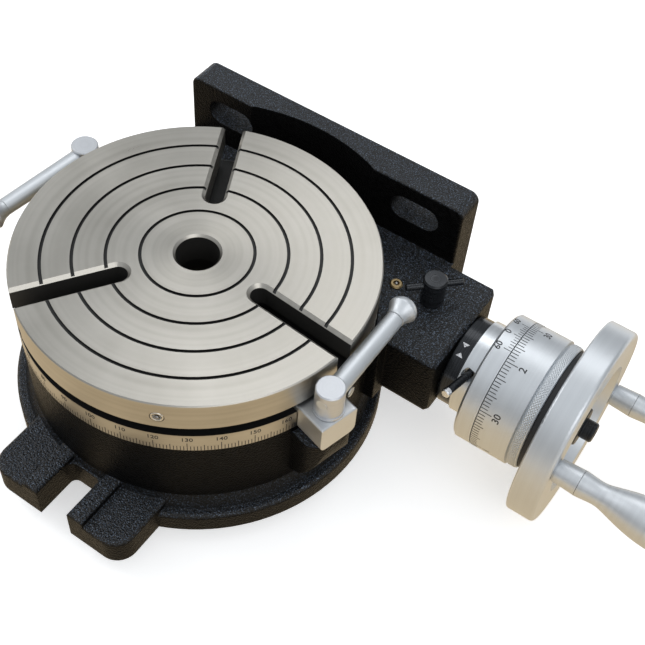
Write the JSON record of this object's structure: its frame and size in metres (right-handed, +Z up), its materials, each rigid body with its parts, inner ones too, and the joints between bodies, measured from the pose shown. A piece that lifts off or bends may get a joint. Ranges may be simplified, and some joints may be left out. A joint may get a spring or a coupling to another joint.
{
  "type": "rotary table",
  "caption": "Worm-driven rotary table with T-slots, degree scale, vernier dial, two-handle handwheel and clamp levers, for horizontal or upright use.",
  "frame": {"origin": "on the table's axis at the underside of the base", "axes": "+Z up the table's axis, +X along the worm shaft towards the handwheel, +Y towards the upright mounting plate"},
  "size_m": [0.3162, 0.1936, 0.0962],
  "materials": {
    "crinkle_paint": "black crinkle paint on cast iron",
    "ground_iron": "turned and ground, bright",
    "satin_steel": "satin, turned",
    "plain_steel": "turned",
    "black_steel": "blackened steel, slight sheen",
    "bronze": "cut gear bronze",
    "brass": "bright brass"
  },
  "bodies": {
    "base": {"base_casting": "crinkle_paint", "pot_plug": "satin_steel", "deck_oiler_cup": "brass", "deck_oiler_ball": "plain_steel", "sleeve_collar": "black_steel", "clamp_block_1": "satin_steel", "clamp_block_2": "satin_steel", "clamp_stud_1": "plain_steel", "clamp_stud_2": "plain_steel"},
    "table": {"table": "ground_iron", "rim_oiler_cup": "brass", "rim_oiler_ball": "plain_steel", "worm_wheel": "bronze", "worm_wheel_screws": "black_steel", "spindle_nut": "plain_steel", "spindle_nut_screw": "black_steel"},
    "sleeve": {"eccentric_sleeve": "plain_steel", "sleeve_ring": "satin_steel", "sleeve_pin": "black_steel", "sleeve_pin_tip": "satin_steel", "vernier_ring": "satin_steel"},
    "worm": {"worm_shaft": "plain_steel", "friction_ring": "black_steel", "handwheel": "satin_steel", "handwheel_key": "plain_steel", "handwheel_washer": "black_steel", "handwheel_bolt": "black_steel", "handle_stud_1": "satin_steel", "handle_stud_2": "satin_steel", "handle_end_screw_1": "satin_steel", "handle_end_screw_2": "satin_steel"},
    "dial": {"dial": "satin_steel"},
    "grip_1": {"handle_grip_1": "satin_steel"},
    "grip_2": {"handle_grip_2": "satin_steel"},
    "clamp_lever_1": {"clamp_hub_1": "satin_steel", "lever_arm_1": "satin_steel", "lever_ball_1": "satin_steel"},
    "clamp_lever_2": {"clamp_hub_2": "satin_steel", "lever_arm_2": "satin_steel", "lever_ball_2": "satin_steel"},
    "lock_screw": {"lock_screw": "black_steel"},
    "lock_bar": {"lock_screw_bar": "satin_steel"}
  },
  "joints": [
    {"name": "table_spin", "type": "hinge", "parent": "base", "child": "table", "pos_m": [0, 0, 0.06], "axis": [0, 0, 1], "continuous": true},
    {"name": "sleeve_turn", "type": "hinge", "parent": "base", "child": "sleeve", "pos_m": [0.06, 0.0534, 0.03235], "axis": [1, 0, 0], "range_deg": [-100, 0]},
    {"name": "worm_spin", "type": "hinge", "parent": "sleeve", "child": "worm", "pos_m": [0.06, 0.0521, 0.0331], "axis": [1, 0, 0], "continuous": true},
    {"name": "dial_set", "type": "hinge", "parent": "worm", "child": "dial", "pos_m": [0.131, 0.0521, 0.0331], "axis": [1, 0, 0], "continuous": true},
    {"name": "grip_1_spin", "type": "hinge", "parent": "worm", "child": "grip_1", "pos_m": [0.19, 0.01798, 0.04689], "axis": [1, 0, 0], "continuous": true},
    {"name": "grip_2_spin", "type": "hinge", "parent": "worm", "child": "grip_2", "pos_m": [0.19, 0.08622, 0.01931], "axis": [1, 0, 0], "continuous": true},
    {"name": "clamp_1_turn", "type": "hinge", "parent": "base", "child": "clamp_lever_1", "pos_m": [0.0794, -0.02127, 0.0723], "axis": [0, 0, 1], "range_deg": [-100, 0]},
    {"name": "clamp_2_turn", "type": "hinge", "parent": "base", "child": "clamp_lever_2", "pos_m": [-0.0794, 0.02127, 0.0723], "axis": [0, 0, 1], "range_deg": [-100, 0]},
    {"name": "lock_screw_turn", "type": "hinge", "parent": "base", "child": "lock_screw", "pos_m": [0.08, 0.0565, 0.06], "axis": [0, 0, 1], "range_deg": [-90, 90]},
    {"name": "lock_bar_slide", "type": "slide", "parent": "lock_screw", "child": "lock_bar", "axis": [0.7071, 0.7071, 0], "range_m": [-0.007, 0.007]}
  ],
  "couplings": [
    {"joint": "worm_spin", "follows": "table_spin", "ratio": 90}
  ]
}
